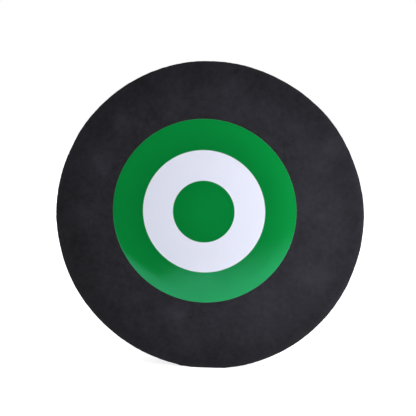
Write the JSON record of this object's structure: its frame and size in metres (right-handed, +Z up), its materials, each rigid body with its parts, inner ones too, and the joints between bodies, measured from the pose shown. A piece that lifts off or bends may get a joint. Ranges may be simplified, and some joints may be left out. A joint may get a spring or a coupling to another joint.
{
  "type": "foam target",
  "caption": "Round free-standing foam target: a thick laminated charcoal foam disc with a flat foot and a glossy green and white bullseye decal on its front.",
  "frame": {"origin": "on the ground under the middle of the disc: the centre of the bottom of its box, on the flat foot", "axes": "+Z up; -Y out of the front, the face with the decal; +Y out of the back; +X to the right as seen from the front"},
  "size_m": [0.3, 0.051, 0.2995],
  "materials": {
    "charcoal_foam": "matte",
    "dried_glue": "satin",
    "white_vinyl": "gloss",
    "green_ink": "gloss"
  },
  "bodies": {
    "root": {"front_foam_sheet": "charcoal_foam", "second_foam_sheet": "charcoal_foam", "middle_foam_sheet": "charcoal_foam", "fourth_foam_sheet": "charcoal_foam", "back_foam_sheet": "charcoal_foam", "glue_film_1": "dried_glue", "glue_film_2": "dried_glue", "glue_film_3": "dried_glue", "glue_film_4": "dried_glue", "decal_film": "white_vinyl", "printed_outer_ring": "green_ink", "printed_centre_spot": "green_ink"}
  },
  "joints": []
}
